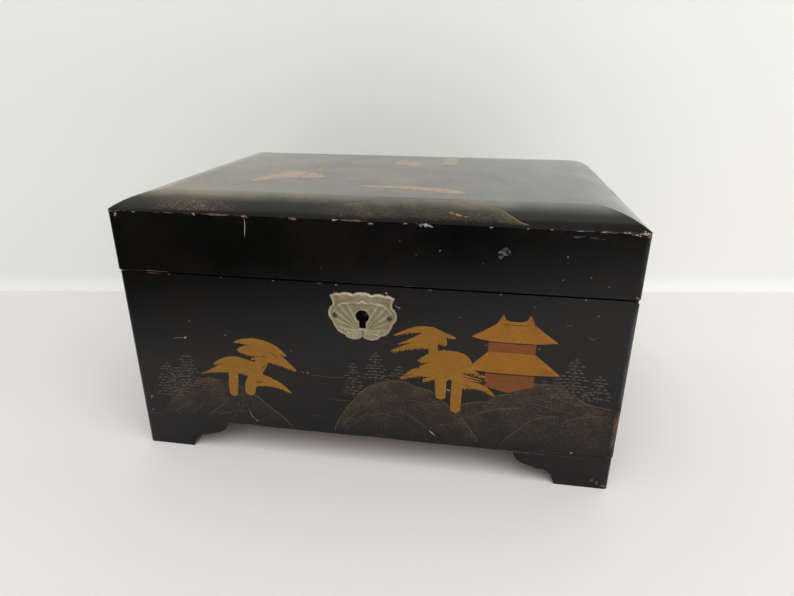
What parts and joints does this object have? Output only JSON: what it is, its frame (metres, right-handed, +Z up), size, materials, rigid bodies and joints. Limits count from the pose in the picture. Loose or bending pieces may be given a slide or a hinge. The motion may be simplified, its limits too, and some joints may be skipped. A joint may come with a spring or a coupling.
{
  "type": "jewelry box",
  "caption": "Rectangular black lacquered wooden box on bracket feet, with a hinged pillow-topped lid, a box lock with a cast escutcheon, and a lift-out tray.",
  "frame": {"origin": "centre of the box's footprint on the surface that it stands on", "axes": "+X to the right along the long side, -Y out of the front with the keyhole, +Z up"},
  "size_m": [0.256, 0.1849, 0.1436],
  "materials": {
    "black_lacquer": "black lacquer over wood, satin gloss, with painted gold scenery on the front and the lid",
    "bare_wood": "bare light wood",
    "tray_lacquer": "black lacquer, satin",
    "red_velvet": "dark red velvet over card and padding",
    "satin_ribbon": "dark red satin ribbon",
    "mirror": "silvered sheet mirror",
    "pewter": "cast white metal, aged, soft sheen",
    "lock_steel": "plated steel",
    "hinge_brass": "stamped brass"
  },
  "bodies": {
    "case": {"front_panel": "black_lacquer", "back_panel": "black_lacquer", "left_panel": "black_lacquer", "right_panel": "black_lacquer", "bottom_board": "bare_wood", "foot_front_left_long": "black_lacquer", "foot_front_left_side": "black_lacquer", "foot_front_right_long": "black_lacquer", "foot_front_right_side": "black_lacquer", "foot_back_left_long": "black_lacquer", "foot_back_left_side": "black_lacquer", "foot_back_right_long": "black_lacquer", "foot_back_right_side": "black_lacquer", "foot_glue_blocks": "bare_wood", "escutcheon": "pewter", "escutcheon_nails": "pewter", "lock_case": "lock_steel", "lock_cover": "lock_steel", "lock_drill_pin": "lock_steel", "lock_screws": "lock_steel", "front_lining": "red_velvet", "back_lining": "red_velvet", "left_lining": "red_velvet", "right_lining": "red_velvet", "floor_lining": "red_velvet", "hinge_left_body_leaf": "hinge_brass", "hinge_right_body_leaf": "hinge_brass", "hinge_left_pin": "hinge_brass", "hinge_right_pin": "hinge_brass", "hinge_body_screws": "hinge_brass"},
    "tray": {"tray_front": "tray_lacquer", "tray_back": "tray_lacquer", "tray_left": "tray_lacquer", "tray_right": "tray_lacquer", "tray_floor": "bare_wood", "divider_main": "tray_lacquer", "divider_ring": "tray_lacquer", "divider_rear": "tray_lacquer", "divider_small": "tray_lacquer", "tray_felts": "red_velvet", "ring_roll_1": "red_velvet", "ring_roll_2": "red_velvet", "ring_roll_3": "red_velvet", "ring_roll_4": "red_velvet", "ring_roll_5": "red_velvet", "pull_tabs": "satin_ribbon"},
    "lid": {"lid_front_rail": "black_lacquer", "lid_back_rail": "black_lacquer", "lid_left_rail": "black_lacquer", "lid_right_rail": "black_lacquer", "lid_top": "black_lacquer", "mirror_frame": "red_velvet", "mirror_glass": "mirror", "strike_plate": "lock_steel", "strike_screws": "lock_steel", "hinge_left_lid_leaf": "hinge_brass", "hinge_right_lid_leaf": "hinge_brass", "hinge_lid_screws": "hinge_brass"},
    "bolt": {"lock_bolt": "lock_steel"}
  },
  "joints": [
    {"name": "lid_hinge", "type": "hinge", "parent": "case", "child": "lid", "pos_m": [0, 0.0905, 0.105], "axis": [-1, 0, 0], "range_deg": [0, 100]},
    {"name": "tray_lift", "type": "slide", "parent": "case", "child": "tray", "axis": [0, 0, 1], "range_m": [0, 0.0265]},
    {"name": "lock_bolt", "type": "slide", "parent": "case", "child": "bolt", "axis": [1, 0, 0], "range_m": [0, 0.0035]}
  ]
}
